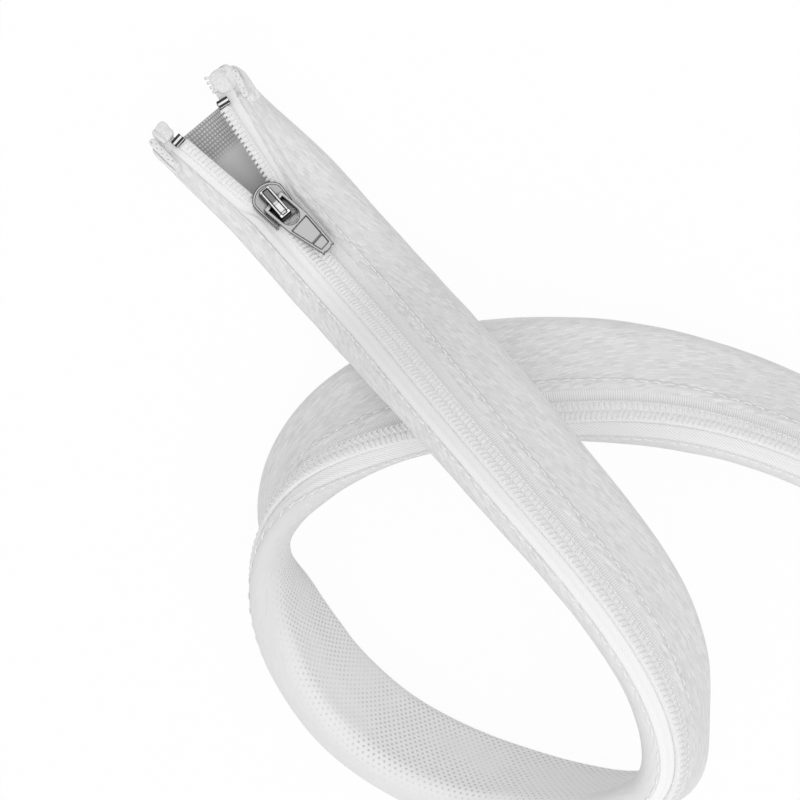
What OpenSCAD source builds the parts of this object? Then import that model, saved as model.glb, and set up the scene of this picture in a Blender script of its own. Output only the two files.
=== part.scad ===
// Zippered cable sleeve: a 0.5 m length of flat woven sleeve with a coil zipper
// sewn into its top, lying on a floor with one loose loop. Millimetres, +Z up.
// The sleeve runs from its open mouth (-X) past the slider at x = 0 and on round the loop.
// Left is +Y and right is -Y, as seen from the mouth.

/* [Sleeve] */
// Flat width of the sleeve, fold to fold
sleeve_w = 29; // [27:0.5:32]
// Height of the sleeve as it lies, outside
sleeve_t = 9; // [8.6:0.2:10]
// Thickness of the woven wall
wall = 0.8; // [0.5:0.1:1]
// Cut length along the zipper
cut_len = 500; // [440:5:520]
// Length of the opened stretch, from the slider's centre to the cut edge
mouth_len = 28; // [26:1:34]
// Depth of the hollow in the cut edge of the back wall
rim_dip = 3; // [1:0.5:5]
// Width of the top slot that the zipper fills, between the fabric's folded edges
slot_w = 11; // [10:0.5:13]

/* [Zipper] */
// Width of one zipper tape, from the chain's middle
tape_w = 9.5; // [8.5:0.5:11]
// Thickness of the tape
tape_t = 0.6; // [0.4:0.1:0.8]
// Width of the closed chain
chain_w = 5; // [4:0.2:5.4]
// Height of the coil above the tape
coil_h = 1.6; // [1.2:0.1:1.8]
// Distance from one coil turn to the next
coil_pitch = 1.25; // [1:0.05:1.6]
// Thickness of the coil's filament
coil_d = 0.52; // [0.4:0.02:0.56]
// Width of the tape and lip that swing away on each side of the mouth
lip_w = 7.5; // [6.5:0.5:9]
// Angle that each side of the mouth is swung open
open_angle = 8; // [5:0.5:10]
// Where the sides of the mouth swing from, behind the slider
hinge_x = 10; // [6:1:14]
// Length of a metal stop
stop_len = 2.4; // [1.6:0.2:3.2]
// Thickness of a metal stop's sheet
stop_t = 0.55; // [0.4:0.05:0.8]
// Length of the loose tape beyond each top stop
tail_len = 5; // [3:0.5:8]

/* [Slider] */
// Where the slider stands along the zipper
slider_x = -2; // [-4:0.5:-1]
// Length of the slider's body
slider_len = 10.2; // [8.6:0.2:11]
// Width of the slider's shoulders
slider_w = 8.2; // [7.6:0.2:9]
// Width of the slider's rear
slider_rear_w = 6.8; // [6.8:0.1:7.4]
// Thickness of the slider's two plates
plate_t = 1.1; // [0.8:0.1:1.3]
// Width of the post between the plates
post_w = 1.8; // [1.4:0.1:2.2]
// Length of the crown on the slider's back
crown_len = 8.6; // [7.4:0.2:9]
// Width of the crown
crown_w = 2.7; // [2.4:0.1:3]
// Height of the crown
crown_h = 2.8; // [2.6:0.1:3.2]
// Thickness of the lock spring's leaf
leaf_t = 0.3; // [0.2:0.05:0.4]

/* [Pull tab] */
// Length from the pivot to the tip
pull_len = 17; // [13:0.2:22]
// Width across the eye
pull_w = 6.2; // [6:0.1:7]
// Width at the tip
tip_w = 3.4; // [2.6:0.1:4.2]
// Thickness of the tab
pull_t = 1.1; // [0.9:0.1:1.2]
// Width of the window that straddles the crown
window_w = 4.6; // [4.5:0.1:4.8]
// How far the tab lies askew in its eye
pull_yaw = 8; // [0:1:9]
// Width of the raised rim round the sunk panel
rim_w = 0.55; // [0.4:0.05:0.8]
// Depth of the sunk panel
panel_dip = 0.25; // [0.1:0.05:0.4]

/* [Fits] */
// Running clearance round the slider
run_gap = 0.3; // [0.2:0.05:0.4]
// Gap between sewn layers
sewn_gap = 0.2; // [0.1:0.05:0.3]
// Gap left where one stretch of fabric ends and the next begins
cut_gap = 0.05; // [0.02:0.01:0.1]

/* [Hidden] */
$fn = 48;
// Cutters reach this far past the part
beyond = 6 * sleeve_w;

// The route of the sleeve: x, y, lift above lying flat, roll about its length
// and how far the zipper has crept from the middle of the sleeve.
// These points are the loop's control points, chosen by hand from the photograph
// for a cut length of 500, and the loop grows with the cut length.
loop = cut_len / 500;
drawn_route = [
    [-60, 0, 0, 0, 3.5],
    [-30, 0, 0, 0, 3.5],
    [0, 0, 0, 0, 3.5],
    [30, 0, 0, 0, 3.5],
    [54, -5, 30, 6, 5.5],
    [91, -9, 46, 26, 7.5],
    [135, -10, 46, 36, 10],
    [165, -24, 29, 84, 10],
    [140, -51, 13, 130, 4],
    [99.6, -70.1, 11, 138, 3],
    [55.5, -59.4, 21, 104.5, 6.2],
    [54.1, -27.3, 16, 38, 11.9],
    [71.8, 9.6, 4, -10, 9.7],
    [94.3, 35.2, 8, 14, 7.3],
    [124, 51.1, 11.3, 38, 11],
    [157, 65.4, 6.1, 16, 6],
    [188.5, 70.9, 0.9, 0, 4],
    [220, 71, 0, 0, 4],
    [250, 71, 0, 0, 4]
];
route = [for (p = drawn_route) [p[0] * loop, p[1] * loop, p[2] * loop, p[3], p[4] * sleeve_w / 29]];
spans = len(route) - 3;
route_start = route[1][0];

round_r = sleeve_t / 2;
flat_half = (sleeve_w - sleeve_t) / 2;
arc_len = PI * round_r;
girth = 4 * flat_half + 2 * arc_len;
far_s = cut_len - mouth_len;
zip_shift = route[1][4];

// Layers of the top, as depths below the sleeve's outer face
tape_in = wall + sewn_gap;
tape_out = tape_in + tape_t;
tooth_in = tape_in - sewn_gap / 2;
tooth_out = tooth_in - coil_h;
tape_top = sleeve_t - tape_in;
tape_low = sleeve_t - tape_out;
coil_top = sleeve_t - tooth_out;
coil_low = sleeve_t - tooth_in;

// Slider levels and places
low_plate_z = tape_low - run_gap - plate_t;
top_plate_z = coil_top + run_gap;
plate_top = top_plate_z + plate_t;
nose_x = slider_x - slider_len * 0.53;
rear_x = nose_x + slider_len;
shoulder_x = nose_x + slider_len * 0.4;
sewn_x = slider_x + 1;
straight_x = 5;
pivot_x = slider_x;
bar_r = pull_t / 2 + 0.08;
pivot_z = plate_top + run_gap + bar_r;
crown_x = pivot_x - crown_len * 0.46;
trough_z = tape_low - 0.9;
stop_x = -mouth_len - stop_len / 2;
slit = 0.3;
stop_in = slit / 2 + stop_t + sewn_gap;
pin_r = 0.35;
pin_x = pivot_x + crown_len * 0.3;
rail_t = 0.6;
slot_half = crown_w / 2 - rail_t;
tunnel_half = bar_r + run_gap + crown_w / 2 * tan(pull_yaw);
leaf_z = pivot_z + bar_r + run_gap + 0.35;
leaf_z_room = plate_top + crown_h - leaf_z - 0.05;
eye_len = pull_len * 0.42;

// Longest straight step of the cloth along the route
cloth_step = 6.5;
// Ends of the fabric's stretches along the zipper, as shares of the closed length
cut_shares = [0.055, 0.136, 0.225, 0.314, 0.424, 0.542, 0.665, 0.78, 0.898];
cuts = concat([straight_x], cut_shares * far_s, [far_s]);

fabric_white = [0.88, 0.88, 0.88];
tape_white = [0.93, 0.93, 0.93];
coil_white = [0.84, 0.84, 0.84];
dark_nickel = [0.36, 0.36, 0.37];
bright_nickel = [0.72, 0.72, 0.73];

// Uniform cubic B-spline through the control points, and its slope
function knot(u) = min(floor(u), spans - 1);
function blend4(k, a, b, c, d) = k[0] * a + k[1] * b + k[2] * c + k[3] * d;
function spline_at(c, u) =
    let (i = knot(u), f = u - i)
    blend4([(1 - f)^3, 3 * f^3 - 6 * f^2 + 4, -3 * f^3 + 3 * f^2 + 3 * f + 1, f^3] / 6,
        c[i], c[i + 1], c[i + 2], c[i + 3]);
function slope_at(c, u) =
    let (i = knot(u), f = u - i)
    blend4([-(1 - f)^2, 3 * f^2 - 4 * f, -3 * f^2 + 2 * f + 1, f^2] / 2,
        c[i], c[i + 1], c[i + 2], c[i + 3]);
function xyz(p) = [p[0], p[1], p[2]];
function unit(v) = v / norm(v);

// Length along the route against the spline's parameter
route_u = [for (k = [0 : spans * 10]) k / 10];
route_p = [for (u = route_u) xyz(spline_at(route, u))];
route_s = [for (k = 0, s = route_start; k < len(route_p);
    s = s + (k + 1 < len(route_p) ? norm(route_p[k + 1] - route_p[k]) : 0), k = k + 1) s];
s_to_u = [for (k = [0 : len(route_u) - 1]) [route_s[k], route_u[k]]];

// Frame of the sleeve's section: middle, along, across to the left, out of the zipper's face, creep
function frame_at(s) =
    let (u = lookup(s, s_to_u), p = spline_at(route, u), t = unit(xyz(slope_at(route, u))),
        h = unit(cross([0, 0, 1], t)), v = cross(t, h),
        n = cos(p[3]) * v + sin(p[3]) * h, w = cos(p[3]) * h - sin(p[3]) * v)
    [xyz(p) + [0, 0, round_r] + w * p[4], t, w, n, p[4]];

// Point of the flat oval section, q along its girth from the zipper, sunk below the face
function oval(g, sunk) =
    let (a = abs(g), side = sign(g), turn = (a - flat_half) / round_r * 180 / PI)
    a <= flat_half ? [g, round_r - sunk]
    : a <= flat_half + arc_len
        ? [side * (flat_half + (round_r - sunk) * sin(turn)), (round_r - sunk) * cos(turn)]
    : [side * (2 * flat_half + arc_len - a), sunk - round_r];
function wrap(g) = g > girth / 2 ? g - girth : g;
function skin(f, q, sunk) = let (yz = oval(wrap(q - f[4]), sunk)) f[0] + f[2] * yz[0] + f[3] * yz[1];

// Stations between two lengths, no further apart than a step
function stations(s0, s1, step) =
    let (n = ceil((s1 - s0) / step)) [for (k = [0 : n]) s0 + (s1 - s0) * k / n];

// A layer of cloth swept along the route's stations, from girth q0 to q1 and between two depths
module layer(along, q0, q1, parts, face, back) {
    rings = [for (s = along) frame_at(s)];
    row = parts + 1;
    ring = 2 * row;
    last = len(rings) - 1;
    pts = [for (f = rings, d = [face, back], k = [0 : parts]) skin(f, q0 + (q1 - q0) * k / parts, d)];
    quads = concat(
        [for (i = [0 : last - 1], k = [0 : parts - 1]) let (a = i * ring + k) [a, a + 1, a + ring + 1, a + ring]],
        [for (i = [0 : last - 1], k = [0 : parts - 1]) let (a = i * ring + row + k) [a, a + ring, a + ring + 1, a + 1]],
        [for (i = [0 : last - 1]) let (a = i * ring) [a, a + ring, a + ring + row, a + row]],
        [for (i = [0 : last - 1]) let (a = i * ring + parts) [a, a + row, a + ring + row, a + ring]],
        [for (k = [0 : parts - 1]) [k, k + row, k + row + 1, k + 1]],
        [for (k = [0 : parts - 1]) let (a = last * ring + k) [a, a + 1, a + row + 1, a + row]]);
    polyhedron(pts, [for (f = quads, h = [0, 1]) h == 0 ? [f[0], f[1], f[2]] : [f[0], f[2], f[3]]], convexity = 8);
}

module fabric_stretch(k) {
    color(fabric_white)
        layer(stations(cuts[k], cuts[k + 1] - (k < len(cuts) - 2 ? cut_gap : 0), cloth_step),
            slot_w / 2, girth - slot_w / 2, 24, 0, wall);
}

// Section of the flat oval with true round folds, zipper at y = 0 and the floor at z = 0
module oval_2d(sunk) {
    translate([zip_shift, round_r]) {
        square([2 * flat_half, sleeve_t - 2 * sunk], center = true);
        for (side = [-1, 1])
            translate([side * flat_half, 0])
                circle(round_r - sunk);
    }
}

// Extrudes a drawing of the section (y, z) along x
module along_x(x0, x1) {
    translate([x0, 0, 0])
        rotate([90, 0, 90])
            linear_extrude(x1 - x0)
                children();
}

module sleeve_mouth() {
    rim_r = (flat_half^2 + rim_dip^2) / (2 * rim_dip);
    color(fabric_white)
        difference() {
            along_x(-mouth_len, straight_x - 4 * cut_gap)
                difference() {
                    oval_2d(0);
                    oval_2d(wall);
                    translate([-slot_w / 2, round_r])
                        square([slot_w, sleeve_t]);
                }
            translate([-beyond, -beyond / 2, trough_z])
                cube([beyond + sewn_x, beyond, beyond]);
            translate([-mouth_len + rim_dip - rim_r, zip_shift, -1])
                cylinder(r = rim_r, h = sleeve_t);
        }
}
module sleeve_tail() { fabric_stretch(0); }
module sleeve_rise() { fabric_stretch(1); }
module sleeve_bridge() { fabric_stretch(2); }
module sleeve_front_bend() { fabric_stretch(3); }
module sleeve_front_turn() { fabric_stretch(4); }
module sleeve_floor_run() { fabric_stretch(5); }
module sleeve_back_turn() { fabric_stretch(6); }
module sleeve_underpass() { fabric_stretch(7); }
module sleeve_exit() { fabric_stretch(8); }
module sleeve_far_end() { fabric_stretch(9); }

// The tapes turn at the same stations as the fabric over them, so that the layers keep their gap
tape_stations = concat([sewn_x],
    [for (k = [0 : len(cuts) - 2]) let (st = stations(cuts[k], cuts[k + 1], cloth_step))
        each [for (j = [0 : len(st) - 2]) st[j]]],
    [far_s - 0.5]);
module left_tape() {
    color(tape_white)
        layer(tape_stations, slit, tape_w, 4, tape_in, tape_out);
}
module right_tape() {
    color(tape_white)
        layer(tape_stations, -tape_w, -slit, 4, tape_in, tape_out);
}

// One turn of coil: a flattened loop of filament with its head over the chain's middle
module coil_turn() {
    head = 0.3;
    foot = chain_w / 2;
    bevel = coil_d * 0.45;
    rotate([90, 0, 180])
        translate([0, 0, -head])
            linear_extrude(foot + head)
                polygon([[-coil_d / 2, bevel], [0, 0], [coil_d / 2, bevel],
                    [coil_d / 2, coil_h - bevel], [0, coil_h], [-coil_d / 2, coil_h - bevel]]);
}

// A row of turns along the route on one side of the chain
module coil_row(side, s0, s1) {
    turns = round((s1 - s0) / coil_pitch);
    pitch = (s1 - s0) / turns;
    for (k = [0 : turns - 1]) {
        f = frame_at(s0 + (k + (side > 0 ? 0.25 : 0.75)) * pitch);
        p = skin(f, 0, tooth_in);
        n = unit(skin(f, 0, 0) - p);
        w = unit(cross(n, f[1]));
        t = cross(w, n);
        multmatrix([[t[0], w[0], n[0], p[0]], [t[1], w[1], n[1], p[1]], [t[2], w[2], n[2], p[2]], [0, 0, 0, 1]])
            rotate([0, 0, side > 0 ? 0 : 180])
                coil_turn();
    }
}
coil_end_s = far_s - 3 * stop_len;
module left_coil() { color(coil_white) coil_row(1, sewn_x, coil_end_s); }
module right_coil() { color(coil_white) coil_row(-1, sewn_x, coil_end_s); }

// Metal stop bent round an edge that lies between two heights, open to +y
module clip(len_x, reach, z0, z1) {
    translate([-len_x / 2, 0, 0])
        difference() {
            translate([0, 0, z0 - stop_t])
                cube([len_x, reach, z1 - z0 + 2 * stop_t]);
            translate([-1, stop_t, z0])
                cube([len_x + 2, beyond, z1 - z0]);
        }
}

module bottom_stop() {
    f = frame_at(coil_end_s + stop_len);
    p = skin(f, 0, tape_out);
    high = tape_t + sewn_gap / 2;
    color(bright_nickel)
        multmatrix([[f[1][0], f[2][0], f[3][0], p[0]], [f[1][1], f[2][1], f[3][1], p[1]],
            [f[1][2], f[2][2], f[3][2], p[2]], [0, 0, 0, 1]])
            translate([-stop_len / 2, -chain_w / 2, 0])
                difference() {
                    translate([0, 0, -stop_t - sewn_gap / 2])
                        cube([stop_len, chain_w, high + 2 * stop_t + sewn_gap / 2]);
                    for (side = [0, 1])
                        translate([-1, side * (chain_w / 2 + slit / 2) - 1 + side, -sewn_gap / 2])
                            cube([stop_len + 2, chain_w / 2 - slit / 2 + 1 - side, high + sewn_gap / 2]);
                }
}

// Puts a side of the mouth, drawn closed on the left, in its open place
module swung(side) {
    mirror([0, side > 0 ? 0 : 1, 0])
        translate([hinge_x, 0, 0])
            rotate([0, 0, -open_angle])
                translate([-hinge_x, 0, 0])
                    children();
}

// Keeps what lies on the mouth's side of the sewn stretch
module mouth_side(x1) {
    intersection() {
        children();
        translate([x1 - beyond, -beyond / 2, -beyond / 2])
            cube(beyond);
    }
}

module lip(side) {
    color(fabric_white)
        mouth_side(sewn_x - run_gap)
            swung(side)
                translate([-mouth_len, slot_w / 2, sleeve_t - wall])
                    cube([mouth_len + slot_w, lip_w - slot_w / 2, wall]);
}
module left_lip() { lip(1); }
module right_lip() { lip(-1); }

module tape_end(side) {
    color(tape_white)
        difference() {
            mouth_side(sewn_x - run_gap)
                swung(side) {
                    translate([-mouth_len, slit, tape_low])
                        cube([mouth_len + slot_w, lip_w - slit, tape_t]);
                    translate([-mouth_len - stop_len - tail_len, stop_in, tape_low])
                        cube([stop_len + tail_len + slit, lip_w - stop_in, tape_t]);
                }
            translate([nose_x - run_gap, -slot_w / 2, 0])
                cube([beyond, slot_w, sleeve_t]);
        }
}
module left_tape_end() { tape_end(1); }
module right_tape_end() { tape_end(-1); }

module coil_end(side) {
    room = mouth_len + nose_x - run_gap;
    turns = round(room / coil_pitch);
    pitch = room / turns;
    color(coil_white)
        swung(side)
            for (k = [0 : turns - 1])
                translate([-mouth_len + (k + (side > 0 ? 0.25 : 0.75)) * pitch, 0, coil_low])
                    coil_turn();
}
module left_coil_end() { coil_end(1); }
module right_coil_end() { coil_end(-1); }

module top_stop(side) {
    color(bright_nickel)
        swung(side)
            translate([stop_x, 0, 0])
                translate([0, slit / 2, 0])
                    clip(stop_len - 2 * sewn_gap, chain_w / 2 + slit, tape_low - sewn_gap, coil_top - stop_t);
}
module left_top_stop() { top_stop(1); }
module right_top_stop() { top_stop(-1); }

// Plan of a tape's loose end, rounded like a thumb
module tail_plan(back_len, out_len) {
    corner_r = tail_len * 0.6;
    hull() {
        translate([corner_r, out_len - corner_r])
            circle(corner_r);
        translate([slit, -back_len])
            square([tail_len - slit, back_len]);
        translate([tail_len - slit, 0])
            square([slit, out_len]);
    }
}

// Loose end of the tape beyond the stop, folded outwards and back over itself
module tape_tail(side) {
    fold_r = 1;
    back_len = lip_w * 0.55;
    color(tape_white)
        swung(side)
            translate([stop_x - stop_len / 2 - tail_len, lip_w + cut_gap, tape_low + tape_t + fold_r])
                intersection() {
                    union() {
                        rotate([90, 0, 90])
                            rotate([0, 0, -90])
                                rotate_extrude(angle = 180)
                                    translate([fold_r, 0])
                                        square([tape_t, tail_len]);
                        translate([0, -back_len, fold_r])
                            cube([tail_len, back_len, tape_t]);
                    }
                    translate([0, 0, -sleeve_t])
                        linear_extrude(2 * sleeve_t)
                            tail_plan(back_len, fold_r + tape_t);
                }
}
module left_tape_tail() { tape_tail(1); }
module right_tape_tail() { tape_tail(-1); }

// Plan of the slider: a round nose, shoulders and a narrower rear
module slider_plan() {
    nose_r = slider_w * 0.55;
    intersection() {
        translate([nose_x + nose_r, 0])
            circle(nose_r);
        translate([nose_x - 1, -slider_w / 2])
            square([shoulder_x - nose_x + 1, slider_w]);
    }
    polygon([[shoulder_x - 0.01, -slider_w / 2], [rear_x, -slider_rear_w / 2],
        [rear_x, slider_rear_w / 2], [shoulder_x - 0.01, slider_w / 2]]);
}

// Plan of the way through the slider: two rows enter at the nose and leave as one chain
module chain_way() {
    half = chain_w / 2 + run_gap;
    spread = half + (shoulder_x - nose_x) * tan(open_angle) + 1;
    translate([shoulder_x, -half])
        square([beyond, 2 * half]);
    polygon([[shoulder_x + 0.01, -half], [shoulder_x + 0.01, half], [nose_x - 1, spread], [nose_x - 1, -spread]]);
}

module slider_body() {
    post_x = nose_x + slider_len * 0.3;
    flange_z = tape_top + run_gap;
    color(dark_nickel)
        difference() {
            union() {
                translate([0, 0, low_plate_z])
                    linear_extrude(plate_t)
                        slider_plan();
                translate([0, 0, top_plate_z])
                    linear_extrude(plate_t)
                        slider_plan();
                translate([0, 0, flange_z])
                    linear_extrude(top_plate_z - flange_z)
                        difference() {
                            slider_plan();
                            chain_way();
                        }
                translate([post_x, 0, low_plate_z])
                    cylinder(d = post_w, h = plate_top - low_plate_z);
                translate([0, 0, low_plate_z])
                    linear_extrude(plate_top - low_plate_z)
                        polygon([[post_x, -post_w / 2], [sewn_x - run_gap - 0.5, 0], [post_x, post_w / 2]]);
            }
            translate([pin_x, 0, top_plate_z - 1])
                cylinder(r = pin_r + run_gap / 2, h = plate_t + 2);
        }
}

// Crown: a rail with rounded ends, tunnelled for the pull's bar and slotted for the lock spring
module slider_crown() {
    end_r = crown_h * 0.35;
    color(dark_nickel)
        difference() {
            translate([0, crown_w / 2, 0])
                rotate([90, 0, 0])
                    linear_extrude(crown_w) {
                        translate([crown_x, plate_top])
                            square([crown_len, crown_h - end_r]);
                        translate([crown_x + end_r, plate_top])
                            square([crown_len - 2 * end_r, crown_h]);
                        for (x = [crown_x + end_r, crown_x + crown_len - end_r])
                            translate([x, plate_top + crown_h - end_r])
                                circle(end_r);
                    }
            translate([pivot_x - tunnel_half, -crown_w, plate_top - 1])
                cube([2 * tunnel_half, 2 * crown_w, pivot_z + bar_r + run_gap - plate_top + 1]);
            translate([crown_x + rail_t, -slot_half, leaf_z])
                cube([crown_len - 2 * rail_t, 2 * slot_half, beyond]);
            translate([pin_x, 0, plate_top - 1])
                cylinder(r = pin_r + run_gap / 2, h = crown_h + 2);
        }
}

// Lock spring: a leaf in the crown's slot with a kick in the middle and a pin down to the chain
module lock_spring() {
    leaf_len = crown_len - 2 * rail_t - 2 * sewn_gap;
    half = slot_half - sewn_gap / 2;
    color(bright_nickel) {
        translate([crown_x + rail_t + sewn_gap, -half, leaf_z])
            cube([leaf_len, 2 * half, leaf_t]);
        translate([pivot_x + crown_len * 0.12, -half, leaf_z])
            cube([crown_len * 0.26, 2 * half, leaf_z_room]);
        translate([pin_x, 0, coil_top + sewn_gap / 2])
            cylinder(r = pin_r, h = leaf_z - coil_top);
    }
}

// Plan of the pull: a broad eye, straight tapering sides and a squared tip
module pull_plan(inset) {
    eye_half = pull_w / 2 - inset;
    tip_half = tip_w / 2 - inset;
    polygon([[0, -eye_half], [eye_len, -eye_half], [pull_len - inset, -tip_half],
        [pull_len - inset, tip_half], [eye_len, eye_half], [0, eye_half]]);
}

// The pull's sunk face between two lengths: a plain panel, or the small pocket near the tip
module sunk_face(x0, x1) {
    translate([0, 0, pull_t / 2 - panel_dip])
        linear_extrude(1)
            intersection() {
                pull_plan(rim_w);
                translate([x0, -pull_w])
                    square([x1 - x0, 2 * pull_w]);
            }
}

module pull_tab() {
    window_r = window_w / 2;
    panel_x = eye_len + rim_w;
    pocket_x = pull_len - tip_w * 1.05;
    pocket_end = pull_len - tip_w * 0.36;
    notch_y = tip_w / 2 - rim_w;
    color(bright_nickel)
        translate([pivot_x, 0, pivot_z])
            rotate([0, 0, pull_yaw]) {
                rotate([90, 0, 0])
                    cylinder(r = bar_r, h = pull_w - sewn_gap, center = true);
                difference() {
                    translate([0, 0, -pull_t / 2])
                        linear_extrude(pull_t)
                            pull_plan(0);
                    translate([-1, -window_r, -pull_t])
                        cube([1 + eye_len - window_r, window_w, 2 * pull_t]);
                    translate([eye_len - window_r, 0, -pull_t])
                        cylinder(r = window_r, h = 2 * pull_t);
                    sunk_face(panel_x, pocket_x - rim_w / 2);
                    sunk_face(pocket_x, pocket_end);
                    for (side = [-1, 1])
                        translate([pull_len, side * notch_y, -pull_t])
                            cylinder(r = rim_w * 0.6, h = 2 * pull_t);
                }
            }
}

sleeve_mouth();
sleeve_tail();
sleeve_rise();
sleeve_bridge();
sleeve_front_bend();
sleeve_front_turn();
sleeve_floor_run();
sleeve_back_turn();
sleeve_underpass();
sleeve_exit();
sleeve_far_end();
left_tape();
right_tape();
left_coil();
right_coil();
bottom_stop();
left_lip();
left_tape_end();
left_coil_end();
left_top_stop();
left_tape_tail();
right_lip();
right_tape_end();
right_coil_end();
right_top_stop();
right_tape_tail();
slider_body();
slider_crown();
lock_spring();
pull_tab();
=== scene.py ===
"""Zippered cable sleeve: cloth, zipper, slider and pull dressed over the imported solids.

The file is laid out as an add-on and run as a script. Lengths are metres unless a
name says millimetres, and every piece is made in the frame of the solids.
"""

import math
from collections import namedtuple
from functools import partialmethod

import bmesh
import bpy
from bpy.props import FloatProperty, FloatVectorProperty, IntProperty, PointerProperty
from mathutils import Matrix, Vector, noise


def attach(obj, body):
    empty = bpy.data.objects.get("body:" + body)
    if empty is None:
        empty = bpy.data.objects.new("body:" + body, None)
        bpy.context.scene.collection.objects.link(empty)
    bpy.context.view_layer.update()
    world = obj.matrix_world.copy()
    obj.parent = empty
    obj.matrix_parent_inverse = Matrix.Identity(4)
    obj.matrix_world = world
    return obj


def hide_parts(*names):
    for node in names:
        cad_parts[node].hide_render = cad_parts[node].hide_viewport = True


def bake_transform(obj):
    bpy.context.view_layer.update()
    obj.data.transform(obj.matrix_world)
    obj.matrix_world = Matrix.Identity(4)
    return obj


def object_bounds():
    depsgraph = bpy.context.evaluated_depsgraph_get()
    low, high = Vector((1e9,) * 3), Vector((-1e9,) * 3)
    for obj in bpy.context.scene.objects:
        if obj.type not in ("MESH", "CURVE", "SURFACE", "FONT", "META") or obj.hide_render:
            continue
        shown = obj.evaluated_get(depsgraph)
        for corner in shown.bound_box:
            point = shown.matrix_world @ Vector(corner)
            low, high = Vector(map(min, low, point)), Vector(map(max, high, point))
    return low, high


bl_info = {
    "name": "Zippered Cable Sleeve",
    "version": (1, 0, 0),
    "blender": (4, 5, 0),
    "location": "3D View > Sidebar > Cable Sleeve",
    "description": "Builds a woven cable sleeve with a coil zipper round a loose loop",
    "category": "Object",
}

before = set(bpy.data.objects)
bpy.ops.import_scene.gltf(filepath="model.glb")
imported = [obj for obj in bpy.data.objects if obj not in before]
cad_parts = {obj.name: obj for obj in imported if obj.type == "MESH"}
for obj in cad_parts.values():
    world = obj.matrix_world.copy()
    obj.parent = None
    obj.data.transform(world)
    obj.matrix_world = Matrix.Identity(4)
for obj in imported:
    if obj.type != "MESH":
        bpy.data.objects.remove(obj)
CAD_LOW, CAD_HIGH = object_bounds()

MM = 0.001
UP = Vector((0, 0, 1))

# The zipper's line round the loop, as in the solids: x, y, lift off the floor,
# roll in degrees and how far the zipper has crept off the middle, in millimetres.
LOOP_MM = (
    (-60, 0, 0, 0, 3.5), (-30, 0, 0, 0, 3.5), (0, 0, 0, 0, 3.5), (30, 0, 0, 0, 3.5),
    (54, -5, 30, 6, 5.5), (91, -9, 46, 26, 7.5), (135, -10, 46, 36, 10),
    (165, -24, 29, 84, 10), (140, -51, 13, 130, 4), (99.6, -70.1, 11, 138, 3),
    (55.5, -59.4, 21, 104.5, 6.2), (54.1, -27.3, 16, 38, 11.9), (71.8, 9.6, 4, -10, 9.7),
    (94.3, 35.2, 8, 14, 7.3), (124, 51.1, 11.3, 38, 11), (157, 65.4, 6.1, 16, 6),
    (188.5, 70.9, 0.9, 0, 4), (220, 71, 0, 0, 4), (250, 71, 0, 0, 4),
)

# Where the closed chain begins, where the open mouth and its tapes end, the slider's nose,
# and the place behind the slider that each side of the mouth swings about.
SEWN_X = -1 * MM
MOUTH_X = -28 * MM
TAPE_END_X = -33 * MM
NOSE_X = -7.7 * MM
HINGE_X = 10 * MM
OPEN_ANGLE = math.radians(8)
MOUTH_CREEP = LOOP_MM[1][4] * MM
LEFT, RIGHT = 1, -1
SIDES = ((LEFT, "left"), (RIGHT, "right"))

# The sharp turn at the left of the loop pinches the sleeve flatter: where along it, how far
# to each side, and by what share of its thickness.
PINCH_S = 300 * MM
PINCH_REACH = 13 * MM
PINCH_SHARE = 0.22

# The groove that a seam draws in the cloth lies this far past the hem.
GROOVE_PAST_HEM = 0.3 * MM

# Rows of cloth across a tape.
TAPE_ROWS = 26


def length(name, default_mm, text):
    """A length property, given in millimetres."""
    return FloatProperty(name=name, description=text, default=default_mm * MM, unit="LENGTH")


def angle(name, default, text):
    """An angle property, given in degrees."""
    return FloatProperty(name=name, description=text, default=math.radians(default), subtype="ANGLE")


def colour(name, default, text):
    """A colour property."""
    return FloatVectorProperty(
        name=name, description=text, default=default, size=3, min=0, max=1, subtype="COLOR"
    )


class SleeveSizes(bpy.types.PropertyGroup):
    """Sizes of the woven sleeve."""

    width: length("Flat width", 29, "Width of the sleeve lying flat")
    thickness: length("Thickness", 9, "Thickness of the sleeve lying flat")
    wall: length("Wall", 0.8, "Thickness of the woven wall")
    cut_length: length("Cut length", 500, "Length of the whole sleeve")
    left_fold: length("Left fold", 5.2, "Folded edge left of the zipper's middle")
    right_fold: length("Right fold", 6.4, "Folded edge right of the zipper's middle")
    left_hem: length("Left hem", 2.3, "From the left folded edge to its seam")
    right_hem: length("Right hem", 0.55, "From the right folded edge to its seam")
    rim_reach: length("Rim reach", 2.6, "How far the mouth's lower rim comes out past its upper edges")
    yarn: length("Yarn row", 0.62, "Width of one row of yarn in the weave")
    rows: IntProperty(name="Rows", description="Rows of cloth round the girth", default=84)
    columns: IntProperty(name="Columns", description="Rows of cloth along the loop", default=420)


class ZipperSizes(bpy.types.PropertyGroup):
    """Sizes of the zipper."""

    tape_width: length("Tape width", 9.5, "Width of each tape from the zipper's middle")
    tape_thickness: length("Tape thickness", 0.6, "Thickness of the tape")
    tape_depth: length("Tape depth", 1.0, "Depth of the tape below the sleeve's face")
    chain_width: length("Chain width", 5, "Width of the closed chain")
    coil_height: length("Coil height", 1.6, "Height of the coil")
    coil_pitch: length("Coil pitch", 1.25, "Length of one turn of coil")
    filament: length("Filament", 0.66, "Thickness of the coil's filament")
    core_low: length("Core foot", 0.04, "Foot of the cord that fills the coil, above the tape")
    core_high: length("Core top", 1.34, "Top of the cord that fills the coil, above the tape")
    stitch_pitch: length("Stitch pitch", 2.8, "Length of one seam stitch and its gap")
    stitch_length: length("Stitch length", 2.1, "Length of thread that shows in one stitch")
    thread: length("Thread", 0.36, "Thickness of the seam thread")


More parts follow.
